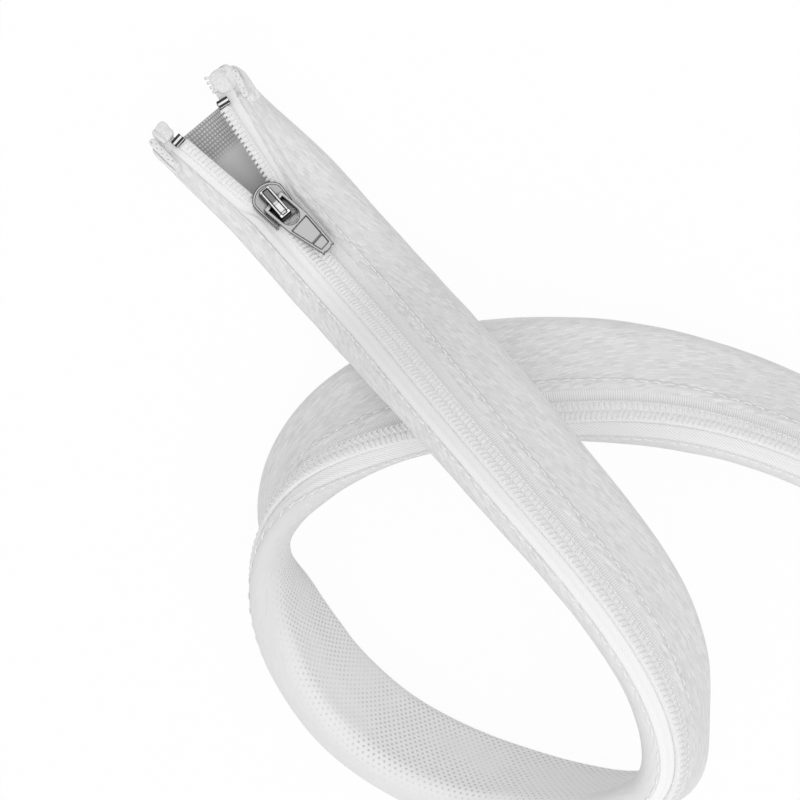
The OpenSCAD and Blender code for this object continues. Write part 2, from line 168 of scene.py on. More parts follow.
class SleeveColours(bpy.types.PropertyGroup):
    """Colours of the finishes."""

    cloth: colour("Cloth", (0.76, 0.76, 0.76), "Woven sleeve")
    lining: colour("Lining", (0.74, 0.74, 0.74), "Inside of the mouth")
    tape: colour("Tape", (0.88, 0.88, 0.88), "Zipper tape")
    nylon: colour("Nylon", (0.81, 0.81, 0.81), "Zipper coil")
    thread: colour("Thread", (0.88, 0.88, 0.88), "Stitching")
    # The two metal colours are one nickel: a copy painted darker as painted shade and a copy painted
    # lighter as painted light.
    shaded_metal: colour("Dark metal", (0.3, 0.3, 0.305), "Slider body")
    lit_metal: colour("Bright metal", (0.55, 0.55, 0.555), "Pull, spring and stops")
    floor: colour("Floor", (0.9, 0.9, 0.9), "Floor under the sleeve")


class StudioSettings(bpy.types.PropertyGroup):
    """Camera and light."""

    azimuth: angle("Azimuth", 49.05, "Camera's bearing")
    elevation: angle("Elevation", 80, "Camera's height")
    distance: length("Distance", 700, "From the camera to the slider")
    right_shift: length("Right shift", 27.9, "Camera's place right of the slider")
    down_shift: length("Down shift", 44, "Camera's place below the slider in the picture")
    lens: FloatProperty(name="Lens", description="Focal length", default=135.4, unit="CAMERA")
    sky: FloatProperty(name="Sky", description="Strength of the soft light", default=0.74)
    key: FloatProperty(name="Key", description="Strength of the key lamp", default=1.0)
    key_tilt: angle("Key tilt", 36, "Lean of the key lamp from straight above")
    key_bearing: angle("Key bearing", -35, "Way the key lamp leans")
    key_spread: angle("Key spread", 70, "Breadth of the key lamp")


SETTINGS = {
    "sleeve_sizes": SleeveSizes,
    "zipper_sizes": ZipperSizes,
    "sleeve_colours": SleeveColours,
    "sleeve_studio": StudioSettings,
}


def setting(group):
    """One of the scene's settings groups."""
    return getattr(bpy.context.scene, group)


# The loop

Section = namedtuple("Section", "middle along left out creep")


class ZipperLine:
    """The zipper's line round the loop, measured along its length from the origin."""

    SAMPLES = 10

    def __init__(self, sizes):
        self.points = LOOP_MM
        self.spans = len(self.points) - 3
        self.round_r = sizes.thickness / 2
        self.flat_half = (sizes.width - sizes.thickness) / 2
        self.arc = math.pi * self.round_r
        self.girth = 4 * self.flat_half + 2 * self.arc
        self.far = sizes.cut_length + MOUTH_X
        self.params = [k / self.SAMPLES for k in range(self.spans * self.SAMPLES + 1)]
        self.lengths = [self.points[1][0] * MM]
        places = [self.mixed(u)[0] for u in self.params]
        for a, b in zip(places, places[1:]):
            self.lengths.append(self.lengths[-1] + (b - a).length)
        self.known = {}

    def mixed(self, u):
        """Place, heading, roll and creep at a parameter of the uniform cubic spline."""
        i = min(int(u), self.spans - 1)
        f = u - i
        place = ((1 - f) ** 3, 3 * f**3 - 6 * f**2 + 4, -3 * f**3 + 3 * f**2 + 3 * f + 1, f**3)
        slope = (-((1 - f) ** 2), 3 * f**2 - 4 * f, -3 * f**2 + 2 * f + 1, f**2)
        four = self.points[i : i + 4]
        at = [sum(w * p[c] for w, p in zip(place, four)) / 6 for c in range(5)]
        heading = [sum(w * p[c] for w, p in zip(slope, four)) for c in range(3)]
        return Vector(at[:3]) * MM, Vector(heading).normalized(), math.radians(at[3]), at[4] * MM

    def at(self, s):
        """The sleeve's section at a length along the zipper."""
        if s in self.known:
            return self.known[s]
        k = 0
        while k < len(self.lengths) - 2 and self.lengths[k + 1] < s:
            k += 1
        share = (s - self.lengths[k]) / (self.lengths[k + 1] - self.lengths[k])
        place, along, roll, creep = self.mixed(self.params[k] + share / self.SAMPLES)
        level = UP.cross(along).normalized()
        high = along.cross(level)
        out = math.cos(roll) * high + math.sin(roll) * level
        left = math.cos(roll) * level - math.sin(roll) * high
        middle = place + UP * self.round_r + left * creep
        self.known[s] = Section(middle, along, left, out, creep)
        return self.known[s]

    def skin(self, s, q, sunk=0.0):
        """A point of the sleeve, q round its girth from the zipper and sunk below its face."""
        section = self.at(s)
        g = q - section.creep
        if g > self.girth / 2:
            g -= self.girth
        a, side = abs(g), math.copysign(1, g)
        if a <= self.flat_half:
            y, z = g, self.round_r - sunk
        elif a <= self.flat_half + self.arc:
            turn = (a - self.flat_half) / self.round_r
            y = side * (self.flat_half + (self.round_r - sunk) * math.sin(turn))
            z = (self.round_r - sunk) * math.cos(turn)
        else:
            y, z = side * (2 * self.flat_half + self.arc - a), sunk - self.round_r
        z *= 1 - PINCH_SHARE * swell(s - PINCH_S, PINCH_REACH)
        return section.middle + section.left * y + section.out * z

    def seat(self, s, q, sunk=0.0):
        """A frame on the sleeve's face: x along the zipper, y to the left and z out of the cloth."""
        step = 0.2 * MM
        point = self.skin(s, q, sunk)
        along = self.at(s).along
        left = (self.skin(s, q + step, sunk) - self.skin(s, q - step, sunk)).normalized()
        out = along.cross(left).normalized()
        left = out.cross(along)
        turned = Matrix((along, left, out)).transposed().to_4x4()
        turned.translation = point
        return turned


def measures():
    """The sleeve's sizes, the zipper's sizes and the zipper's line."""
    sizes = setting("sleeve_sizes")
    return sizes, setting("zipper_sizes"), ZipperLine(sizes)


def flap_matrix(side):
    """Carries a side of the mouth, drawn closed on the left, to its open place."""
    pivot = Matrix.Translation((HINGE_X, 0, 0))
    swing = pivot @ Matrix.Rotation(-OPEN_ANGLE, 4, "Z") @ pivot.inverted()
    return Matrix.Diagonal((1, side, 1, 1)) @ swing


def smooth_step(t):
    """Eases from 0 to 1."""
    t = min(max(t, 0), 1)
    return t * t * (3 - 2 * t)


def swell(distance, width):
    """1 at no distance, falling off to both sides like a bell."""
    return math.exp(-((distance / width) ** 2))


def parted(x):
    """How far a place along the zipper follows the open mouth: 0 behind the slider, 1 at its nose."""
    return smooth_step((SEWN_X - x) / (SEWN_X - NOSE_X))


def ride_mouth(piece):
    """Bakes the place of a piece that runs through the slider into its mesh."""
    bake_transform(piece)


def lerp(a, b, t):
    """The value between a and b at a share t."""
    return a + (b - a) * t


# Shapes

def mesh_object(name, bm, *looks, smooth=True):
    """Keeps a bmesh as a new piece with its finishes."""
    mesh = bpy.data.meshes.new(name)
    bm.to_mesh(mesh)
    bm.free()
    piece = bpy.data.objects.new(name, mesh)
    bpy.context.scene.collection.objects.link(piece)
    for look in looks:
        mesh.materials.append(look)
    for face in mesh.polygons:
        face.use_smooth = smooth
    return piece


def cloth_grid(columns, rows, place, cut, side=LEFT):
    """A grid of cloth. place and cut give a vertex's place and its place on the flat cut."""
    bm = bmesh.new()
    bmesh.ops.create_grid(bm, x_segments=columns, y_segments=rows, size=0.5)
    layer = bm.loops.layers.uv.new("cut")
    for face in bm.faces:
        for loop in face.loops:
            loop[layer].uv = cut(loop.vert.co.x + 0.5, loop.vert.co.y + 0.5)
    for vert in bm.verts:
        vert.co = place(vert.co.x + 0.5, vert.co.y + 0.5)
    if side == RIGHT:
        bmesh.ops.reverse_faces(bm, faces=bm.faces)
    return bm


def crisp(bm, test):
    """Keeps the open edges of a cloth sharp where both their ends pass a test."""
    for edge in bm.edges:
        if edge.is_boundary and all(test(v.co) for v in edge.verts):
            edge.smooth = False


def part_at(bm, x):
    """Keeps the cut across a cloth crisp, so that the next piece of it carries on unseen."""
    crisp(bm, lambda at: abs(at.x - x) < 0.3 * MM)


def thicken(piece, thickness):
    """Gives cloth its thickness, and its inside the last of its finishes."""
    solid = piece.modifiers.new("thickness", "SOLIDIFY")
    solid.thickness = thickness
    solid.material_offset = len(piece.data.materials) - 1


def turn_outward(bm):
    """Turns the faces of closed shapes outward."""
    bm.normal_update()
    bmesh.ops.recalc_face_normals(bm, faces=bm.faces)
    if bm.calc_volume(signed=True) < 0:
        bmesh.ops.reverse_faces(bm, faces=bm.faces)


def tube(points, radius, sides=6):
    """A closed tube along a few points."""
    bm = bmesh.new()
    points = [Vector(p) for p in points]
    steps = [(b - a).normalized() for a, b in zip(points, points[1:])]
    headings = [steps[0]] + [(a + b).normalized() for a, b in zip(steps, steps[1:])] + [steps[-1]]
    verts = bmesh.ops.create_circle(bm, segments=sides, radius=radius)["verts"]
    ring = bm.edges[:]
    at, heading = Vector(), UP
    for k, (point, onward) in enumerate(zip(points, headings)):
        if k:
            grown = bmesh.ops.extrude_edge_only(bm, edges=ring)["geom"]
            verts = [g for g in grown if isinstance(g, bmesh.types.BMVert)]
            ring = [g for g in grown if isinstance(g, bmesh.types.BMEdge)]
        bmesh.ops.translate(bm, verts=verts, vec=point - at)
        turn = heading.rotation_difference(onward).to_matrix()
        bmesh.ops.rotate(bm, verts=verts, cent=point, matrix=turn)
        at, heading = point, onward
    bmesh.ops.holes_fill(bm, edges=[e for e in bm.edges if e.is_boundary])
    turn_outward(bm)
    return bm


def pressed(c, squareness):
    """A place on a unit circle or ball, pressed towards the square or box round it."""
    return math.copysign(abs(c) ** squareness, c)


def soft_form(half, squareness, rings):
    """A closed soft form: a ball pressed towards a box with the given half sizes."""
    bm = bmesh.new()
    bmesh.ops.create_uvsphere(bm, u_segments=2 * rings, v_segments=rings, radius=1)
    for vert in bm.verts:
        vert.co = Vector([pressed(c, squareness) * h for c, h in zip(vert.co, half)])
    return bm


def row_of(shape, places):
    """Copies of one small shape, each carried to its place, in one bmesh."""
    pattern = bpy.data.meshes.new("pattern")
    shape.to_mesh(pattern)
    shape.free()
    bm = bmesh.new()
    for place in places:
        copy = pattern.copy()
        copy.transform(place)
        bm.from_mesh(copy)
        bpy.data.meshes.remove(copy)
    bpy.data.meshes.remove(pattern)
    turn_outward(bm)
    return bm


def bar_faces(bm, along, shares):
    """Cuts a shape across at shares of its length, and gives every second band of its faces."""
    reach = [v.co.dot(along) for v in bm.verts]
    cuts = [lerp(min(reach), max(reach), share) for share in shares]
    for cut in cuts:
        geom = bm.verts[:] + bm.edges[:] + bm.faces[:]
        bmesh.ops.bisect_plane(bm, geom=geom, plane_co=along * cut, plane_no=along)
    places = [(face, face.calc_center_median().dot(along)) for face in bm.faces]
    return [face for face, at in places if sum(cut < at for cut in cuts) % 2]


def solid_copy(name, node, material, bevel, lit_top=None, frames=(), bars=None):
    """A copy of a solid with eased edges, standing for the solid.

    What faces up takes a finish of its own, which the callers make lighter than the sides
    as painted light. Each frame sets the top in from its edge by a width, drops what it
    leaves inside by a depth and takes a finish. Bars give a heading, shares of the length
    along it and a finish for every second band between them. The callers use frames and
    bars for rings and bands of painted shade and painted light.
    """
    flat, sharp, upward = math.radians(1), math.radians(30), 0.8
    weld, same_level = 0.002 * MM, 0.05 * MM
    slots = [material]

    def paint(faces, look):
        slots.append(look)
        for face in faces:
            face.material_index = len(slots) - 1

    bm = bmesh.new()
    bm.from_mesh(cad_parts[node].data)
    bmesh.ops.remove_doubles(bm, verts=bm.verts, dist=weld)
    seams = [e for e in bm.edges if e.is_manifold and e.calc_face_angle(0) < flat]
    bmesh.ops.dissolve_edges(bm, edges=seams, use_verts=False)
    tops = [f for f in bm.faces if f.normal.z > upward]
    if lit_top:
        paint(tops, lit_top)
    high = max(f.calc_center_median().z for f in tops) - same_level
    for width, depth, look in frames:
        level = [f for f in tops if f.calc_center_median().z > high]
        broad = 0.5 * max(f.calc_area() for f in level)
        level = [f for f in level if f.calc_area() > broad]
        made = bmesh.ops.inset_region(bm, faces=level, thickness=width, depth=-depth)["faces"]
        paint(made, look)
        high -= depth
    if bars:
        heading, shares, look = bars
        paint(bar_faces(bm, heading, shares), look)
    piece = mesh_object(name, bm, *slots, smooth=False)
    ease = piece.modifiers.new("eased edges", "BEVEL")
    ease.width = bevel
    ease.segments = 2
    ease.limit_method = "ANGLE"
    ease.angle_limit = sharp
    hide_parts(node)
    return piece


# Finishes

class Wire:
    """One shader socket. Sums on it add Math nodes to its tree."""

    def __init__(self, tree, socket=None):
        self.tree = tree
        self.socket = socket

    def node(self, kind, settings=None, inputs=None, out=0):
        """Adds a node, sets it up, feeds it and gives one of its outputs."""
        made = self.tree.nodes.new(kind)
        for key, value in (settings or {}).items():
            setattr(made, key, value)
        for key, value in (inputs or {}).items():
            if isinstance(value, Wire):
                self.tree.links.new(value.socket, made.inputs[key])
            else:
                made.inputs[key].default_value = value
        return Wire(self.tree, made.outputs[out])

    def math(self, operation, *values):
        """A Math node on this socket and the values after it."""
        inputs = dict(enumerate((self, *values)))
        return self.node("ShaderNodeMath", {"operation": operation}, inputs)

    __add__ = __radd__ = partialmethod(math, "ADD")
    __sub__ = partialmethod(math, "SUBTRACT")
    __mul__ = partialmethod(math, "MULTIPLY")
    __truediv__ = partialmethod(math, "DIVIDE")
    __pow__ = partialmethod(math, "POWER")

    def __rsub__(self, other):
        return self.node("ShaderNodeMath", {"operation": "SUBTRACT"}, {0: other, 1: self})

    def clamped(self):
        """Held between 0 and 1."""
        return self.math("MINIMUM", 1.0).math("MAXIMUM", 0.0)

    def ramp(self, low, high):
        """Eases from 0 at low to 1 at high."""
        inputs = {"Value": self, "From Min": low, "From Max": high}
        return self.node("ShaderNodeMapRange", {"interpolation_type": "SMOOTHSTEP"}, inputs)

    def mixed(self, low, high, blend="MIX"):
        """A colour between two, by this socket."""
        low, high = (c if isinstance(c, Wire) else (*c, 1) for c in (low, high))
        settings = {"data_type": "RGBA", "blend_type": blend}
        return self.node("ShaderNodeMix", settings, {0: self, 6: low, 7: high}, out=2)


def finish(name, **fixed):
    """A new finish: its wires, its Principled shader and its material."""
    material = bpy.data.materials.new(name)
    material.use_nodes = True
    shader = material.node_tree.nodes["Principled BSDF"]
    for key, value in fixed.items():
        shader.inputs[key.replace("_", " ")].default_value = value
    return material, Wire(material.node_tree), shader


def feed(wire, shader, **links):
    """Links what varies over a surface to the shader's sockets."""
    for key, value in links.items():
        wire.tree.links.new(value.socket, shader.inputs[key.replace("_", " ")])


def bump(wire, height, strength, distance_mm):
    """A normal raised by a height."""
    inputs = {"Height": height, "Strength": strength, "Distance": distance_mm * MM}
    return wire.node("ShaderNodeBump", None, inputs)


def cut_place(wire):
    """Place on the flat cut in millimetres: along and across."""
    uv = wire.node("ShaderNodeUVMap", {"uv_map": "cut"})
    apart = uv.node("ShaderNodeSeparateXYZ", None, {0: uv})
    across = Wire(wire.tree, apart.socket.node.outputs[1])
    return apart * 1000, across * 1000


def speckle(wire, along, across, scale):
    """Soft noise on the flat cut."""
    at = wire.node("ShaderNodeCombineXYZ", None, {0: along, 1: across})
    return wire.node("ShaderNodeTexNoise", None, {"Vector": at, "Scale": scale, "Detail": 3.0})


def shade(rgb, share):
    """A colour made darker or lighter."""
    return tuple(min(c * share, 1) for c in rgb)


def woven_finish(line):
    """The sleeve's weave: long slanting floats on its face and small open dots on its back."""
    rgb = setting("sleeve_colours").cloth
    sizes = setting("sleeve_sizes")
    material, wire, shader = finish(
        "woven white", Roughness=0.85, Specular_IOR_Level=0.25, Sheen_Weight=0.15, Sheen_Roughness=0.5
    )
    along, across = cut_place(wire)
    half_mm = line.girth / 2 / MM
    right_of_back = across - half_mm
    aside = half_mm - right_of_back.math("ABSOLUTE")

    # Floats that slant across the face. They lie calmer on the right, from the first bend on.
    lean = math.radians(12)
    row_mm, float_mm = sizes.yarn / MM, 2.3
    wander = speckle(wire, along, across, 0.35)
    rows = (aside * math.cos(lean) - along * math.sin(lean)) / row_mm + wander * 0.9
    row = rows.math("FLOOR")
    v = rows.math("FRACT") - 0.5
    start = wire.node("ShaderNodeTexWhiteNoise", {"noise_dimensions": "1D"}, {"W": row})
    run = (along * math.cos(lean) + aside * math.sin(lean)) / float_mm + start
    u = run.math("FRACT") - 0.5
    crown = (1 - (v * 2) ** 2.0) * (1 - (u.math("ABSOLUTE") * 2) ** 4.0)
    pick = wire.node("ShaderNodeCombineXYZ", None, {0: run.math("FLOOR"), 1: row})
    each = wire.node("ShaderNodeTexWhiteNoise", {"noise_dimensions": "2D"}, {"Vector": pick})
    calm = 1 - along.ramp(120.0, 160.0) * right_of_back.ramp(12.0, 20.0) * 0.75
    lit = 0.5 + (each - 0.5) * crown * calm

    # Dots in staggered lanes on the back, which reaches further round on the right. The dots are painted
    # shade in the weave's open holes.
    back = 1 - right_of_back.ramp(15.0, 21.0).math("MAXIMUM", (0 - right_of_back).ramp(8.0, 12.0))
    dot_x, dot_y = 1.45, 1.15
    lanes = across / dot_y + along * 0.02
    dv = (lanes.math("FRACT") - 0.5) * dot_y
    du = ((along / dot_x + lanes.math("FLOOR") * 0.5).math("FRACT") - 0.5) * dot_x
    dots = 1 - (du * du + dv * dv).math("SQRT").ramp(0.12, 0.4)
    patchy = speckle(wire, along, across, 0.06).ramp(0.38, 0.6)
    holes = dots * back * (0.35 + patchy * 0.65)

    # Painted light that makes the hems on both sides paler, and painted shade in the groove of the left
    # seam.
    seam_mm = (sizes.left_fold + sizes.left_hem + GROOVE_PAST_HEM) / MM
    from_right_fold = (line.girth - sizes.right_fold) / MM - across
    past_seam = across.ramp(seam_mm - 0.6, seam_mm)
    hem = 1 - past_seam.math("MINIMUM", from_right_fold.ramp(3.0, 6.0))
    pale = 1 + hem * 0.12
    floats = (lit.clamped() * pale).mixed(shade(rgb, 0.86), shade(rgb, 1.1))
    # On the back the floats give way to plain cloth, painted paler as painted light.
    plain = back.mixed(floats, shade(rgb, 1.17))
    groove = 1 - (across - seam_mm).math("ABSOLUTE").ramp(0.1, 0.34)
    tone = holes.math("MAXIMUM", groove * 0.35).clamped().mixed(plain, shade(rgb, 0.72))
    height = crown * calm * (0.3 + each * 0.7) - holes * 0.8
    feed(wire, shader, Base_Color=tone, Normal=bump(wire, height, 0.55, 0.12))
    return material


def lining_finish():
    """The inside of the mouth: smooth grey with an open grid near the rim."""
    rgb = setting("sleeve_colours").lining
    material, wire, shader = finish("sleeve lining", Roughness=0.9, Specular_IOR_Level=0.2)
    along, across = cut_place(wire)
    cell = 0.78
    u = ((along / cell).math("FRACT") - 0.5).math("ABSOLUTE")
    v = ((across / cell + along * 0.04).math("FRACT") - 0.5).math("ABSOLUTE")
    grid = u.math("MAXIMUM", v).ramp(0.24, 0.42)
    near_rim = 1 - (along - MOUTH_X / MM).ramp(6.0, 9.0)
    smooth = speckle(wire, along, across, 0.3)
    base = (near_rim * 0.9 + smooth * 0.1).mixed(shade(rgb, 1.02), shade(rgb, 0.9))
    # The grid's lines are painted shade in the open weave between the raised cells.
    tone = (grid * near_rim).clamped().mixed(base, shade(rgb, 0.5))
    feed(wire, shader, Base_Color=tone, Normal=bump(wire, (1 - grid) * near_rim, 0.4, 0.1))
    return material


def tape_finish():
    """Zipper tape: ribs across the left one and slanting ribs on the right, faint up to the left turn."""
    rgb = setting("sleeve_colours").tape
    material, wire, shader = finish(
        "tape white", Roughness=0.75, Specular_IOR_Level=0.3, Sheen_Weight=0.1, Sheen_Roughness=0.5
    )
    along, across = cut_place(wire)
    left = across.ramp(-0.1, 0.1)
    wander = speckle(wire, along, across, 0.5)
    straight = along / 0.52 + across * 0.22
    slanting = along / 1.1 + across * 1.47
    ribs = slanting + (straight - slanting) * left + wander * 0.8
    wave = (ribs * (2 * math.pi)).math("SINE") * 0.5 + 0.5
    fine = speckle(wire, along, across, 2.0)
    round_loop = along.ramp(230.0, 270.0)
    closed = along.ramp(-6.0, -1.0)
    share = (left * (0.5 + closed * 0.5)).math("MAXIMUM", 0.2 + round_loop * 0.6)
    lit = 1 - share * (1 - wave) * 0.8 - (1 - fine) * 0.2
    tone = lit.clamped().mixed(shade(rgb, 0.78), shade(rgb, 1.05))
    feed(wire, shader, Base_Color=tone, Normal=bump(wire, wave * share, 0.4, 0.08))
    return material


def mottled_finish(name, rgb, spread, grain_mm, roughness, specular):
    """A plain finish with a little grain in its colour and its roughness."""
    material, wire, shader = finish(name, Specular_IOR_Level=specular)
    place = wire.node("ShaderNodeTexCoord", out=3)
    inputs = {"Vector": place, "Scale": 1 / (grain_mm * MM), "Detail": 4.0}
    grain = wire.node("ShaderNodeTexNoise", None, inputs)
    tone = grain.ramp(0.3, 0.7).mixed(shade(rgb, 1 - spread), shade(rgb, 1 + spread))
    rough = roughness + (grain - 0.5) * 0.16
    feed(wire, shader, Base_Color=tone, Roughness=rough, Normal=bump(wire, grain, 0.12, 0.05))
    return material


def metal_finish(name, rgb, roughness, edge_shade_mm, front_light_share):
    """Plated metal with painted shade in its corners and painted reflections that turn its edges nearly
    black. A share ahead of the pivot above 1 paints light there, and one below 1 paints shade.
    """
    material, wire, shader = finish(name, Metallic=1.0)
    place = wire.node("ShaderNodeTexCoord", out=3)
    grain = wire.node("ShaderNodeTexNoise", None, {"Vector": place, "Scale": 1500.0, "Detail": 4.0})
    # Painted shade in the corners, from an occlusion node, and painted reflections that blacken the
    # edges, from a bevel node.
    corner = wire.node("ShaderNodeAmbientOcclusion", {"samples": 12}, {"Distance": 1.2 * MM}, out=1)
    rounded = wire.node("ShaderNodeBevel", {"samples": 8}, {"Radius": edge_shade_mm * MM})
    facing = wire.node("ShaderNodeNewGeometry", out=1)
    dot = {"operation": "DOT_PRODUCT"}
    edge = wire.node("ShaderNodeVectorMath", dot, {0: rounded, 1: facing}, out=1)
    unshaded = corner.ramp(0.4, 0.88) * edge.ramp(0.93, 0.998)
    along = wire.node("ShaderNodeSeparateXYZ", None, {0: place})
    # Ahead of the pivot the colour is scaled by the share: painted light on the plate's front, painted
    # shade on the spring's front.
    pivot_front, pivot_back = -1.9 * MM, -1.3 * MM
    behind = along.ramp(pivot_front, pivot_back)
    face = behind.mixed(shade(rgb, front_light_share), rgb)
    dull = (grain * 0.2).mixed(face, (0.5, 0.5, 0.5), "MULTIPLY")
    # Where corners and edges lie, the colour turns almost black: painted shade.
    tone = unshaded.mixed(shade(rgb, 0.05), dull)
    rough = roughness + grain * 0.1
    feed(wire, shader, Base_Color=tone, Roughness=rough, Normal=bump(wire, grain, 0.08, 0.03))
    return material


FINISHES = {}


def finishes():
    """Every finish, made once."""
    if not FINISHES:
        rgb = setting("sleeve_colours")
        # A painted highlight: the lit nickel made lighter still, for the tops of rails and stops and for
        # the spring.
        painted_highlight = shade(rgb.lit_metal, 1.6)
        FINISHES["cloth"] = woven_finish(ZipperLine(setting("sleeve_sizes")))
        FINISHES["lining"] = lining_finish()
        FINISHES["tape"] = tape_finish()
        # Name, colour, spread, grain in millimetres, roughness and gloss.
        for key, *look in (
            ("nylon", "coil nylon", rgb.nylon, 0.05, 0.6, 0.42, 0.4),
            ("thread", "white thread", rgb.thread, 0.06, 0.2, 0.7, 0.3),
            ("hole", "needle hole", shade(rgb.thread, 0.5), 0.2, 0.1, 0.9, 0.1),
            ("cord", "coil cord", shade(rgb.nylon, 1.04), 0.05, 0.5, 0.8, 0.2),
            ("cotton", "tape cotton", shade(rgb.tape, 0.88), 0.06, 0.6, 0.85, 0.2),
        ):
            FINISHES[key] = mottled_finish(*look)
        # Name, colour, roughness, width of the painted edge shade in millimetres and share ahead of the
        # pivot.
        # All are one nickel, in copies painted darker as painted shade, near black in grooves, and
        # lighter as painted light and painted highlights.
        for key, *look in (
            ("groove", "dark groove", shade(rgb.shaded_metal, 0.16), 0.3, 0.28, 1),
            ("dark", "dark nickel", rgb.shaded_metal, 0.24, 0.5, 1),
            ("plate", "plate nickel", rgb.shaded_metal, 0.24, 0.3, 1.6),
            ("bright", "bright nickel", rgb.lit_metal, 0.22, 0.42, 1),
            ("rail", "polished nickel", painted_highlight, 0.16, 0.28, 1),
            ("leaf", "spring nickel", painted_highlight, 0.16, 0.16, 0.28),
        ):
            FINISHES[key] = metal_finish(*look)
    return FINISHES


# The cloth

def relief(s, q, edge_near, hem):
    """How far the cloth stands out of its plain oval: a rolled hem, a seam and slight ripples."""
    rise = 0.3 * MM * math.sin(math.pi * edge_near / hem) if edge_near < hem else 0.0
    depth = (0.16 if hem > MM else 0.08) * MM
    seam = depth * swell(edge_near - hem - GROOVE_PAST_HEM, 0.28 * MM)
    turned_in = 0.55 * MM * swell(edge_near, 0.6 * MM)
    ripple = 0.16 * MM * noise.noise(Vector((s * 90, q * 260, 0)))
    return rise - seam - turned_in + ripple * smooth_step(edge_near / (3 * MM))


def fold_and_hem(sizes, side):
    """Where a side's cloth is folded, and how far its seam lies from the fold."""
    if side == LEFT:
        return sizes.left_fold, sizes.left_hem
    return sizes.right_fold, sizes.right_hem


# How far from the middle each side's folded edge and outer side come at the mouth's end, in mm.
MOUTH_END = {LEFT: (10.4, 15.7), RIGHT: (9.6, 12.4)}


def mouth_edges(line, fold_q, side, x):
    """How far from the middle a side of the mouth has its folded edge and its outer side."""
    opened = (SEWN_X - x) / (SEWN_X - MOUTH_X)
    end_fold, end_outer = MOUTH_END[side]
    outer = line.flat_half + line.round_r + side * MOUTH_CREEP
    return lerp(fold_q, end_fold * MM, opened), lerp(outer, end_outer * MM, smooth_step(opened))


def mouth_section(line, fold_q, side, x, share):
    """The mouth's cloth at x, from the fold (share 0) to the middle (share 1), and its outward side."""
    r = line.round_r
    fold, outer = mouth_edges(line, fold_q, side, x)
    centre = outer - r
    top = max(centre - fold, 0)
    first = math.asin(min(max(fold - centre, 0) / r, 1))
    arc = (math.pi - first) * r
    bottom = centre - side * MOUTH_CREEP
    run = share * (top + arc + bottom)
    if run < top:
        y, z, turn = fold + run, 2 * r, 0
    elif run < top + arc:
        turn = first + (run - top) / r
        y, z = centre + r * math.sin(turn), r + r * math.cos(turn)
    else:
        y, z, turn = centre - (run - top - arc), 0, math.pi
    return Vector((x, side * y, z)), Vector((0, side * math.sin(turn), math.cos(turn)))


def mouth_side(line, sizes, side, word):
    """One side of the mouth, from its folded edge down and under to the middle."""
    columns, rows = 34, 56
    girth_q = line.girth / 2 + side * MOUTH_CREEP
    fold_q, hem = fold_and_hem(sizes, side)

    def packed(v):
        return lerp(v, v * v, 0.75)

    def cut(u, v):
        s = lerp(MOUTH_X, SEWN_X, u)
        q = lerp(fold_q, girth_q, packed(v))
        return s, q if side == LEFT else line.girth - q

    def place(u, v):
        x, share = lerp(MOUTH_X, SEWN_X, u), packed(v)
        point, outward = mouth_section(line, fold_q, side, x, share)
        lift = relief(x, cut(u, v)[1], lerp(0, girth_q - fold_q, share), hem)
        reach = sizes.rim_reach * smooth_step((share - 0.3) / 0.3) * (1 - u) ** 3
        return point + outward * lift - Vector((reach, 0, 0))

    bm = cloth_grid(columns, rows, place, cut, side)
    part_at(bm, SEWN_X)
    crisp(bm, lambda at: at.z < 0.5 * MM)
    piece = mesh_object(f"{word}_mouth_side", bm, finishes()["cloth"], finishes()["lining"])
    thicken(piece, sizes.wall)
    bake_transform(piece)
    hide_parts(f"{word}_lip")
    girth_q - fold_q


class CABLESLEEVE_OT_cloth(bpy.types.Operator):
    """Weaves the closed sleeve and the two sides of its open mouth"""

    bl_idname = "cablesleeve.cloth"
    bl_label = "Woven Sleeve"

    def execute(self, context):
        sizes, _, line = measures()
        q0, q1 = sizes.left_fold, line.girth - sizes.right_fold

        def cut(u, v):
            return lerp(SEWN_X, line.far, u), lerp(q0, q1, lerp(v, smooth_step(v), 0.75))

        def place(u, v):
            s, q = cut(u, v)
            left = q < line.girth / 2
            edge, hem = (q - q0, sizes.left_hem) if left else (q1 - q, sizes.right_hem)
            return line.skin(s, q, -relief(s, q, edge, hem))

        bm = cloth_grid(sizes.columns, sizes.rows, place, cut)
        part_at(bm, SEWN_X)
        sleeve = mesh_object("woven_sleeve", bm, finishes()["cloth"], finishes()["lining"])
        thicken(sleeve, sizes.wall)
        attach(sleeve, "sleeve")
        stretches = [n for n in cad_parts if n.startswith("sleeve_")]
        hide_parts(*stretches)
        q1 - q0
        line.far - SEWN_X

        for side, word in SIDES:
            mouth_side(line, sizes, side, word)
        return {"FINISHED"}


# The zipper

def tape_rise(zipper, q, fold):
    """How far the tape swells up between the chain and the folded edge of the cloth."""
    under_slider = 0.24 * MM * smooth_step((q - zipper.chain_width / 2) / (0.5 * MM) + 1)
    beside_slider = 0.28 * MM * smooth_step((q - 4.2 * MM) / (0.6 * MM))
    down = smooth_step((q - fold - 0.2 * MM) / (0.5 * MM))
    return (under_slider + beside_slider) * (1 - down)


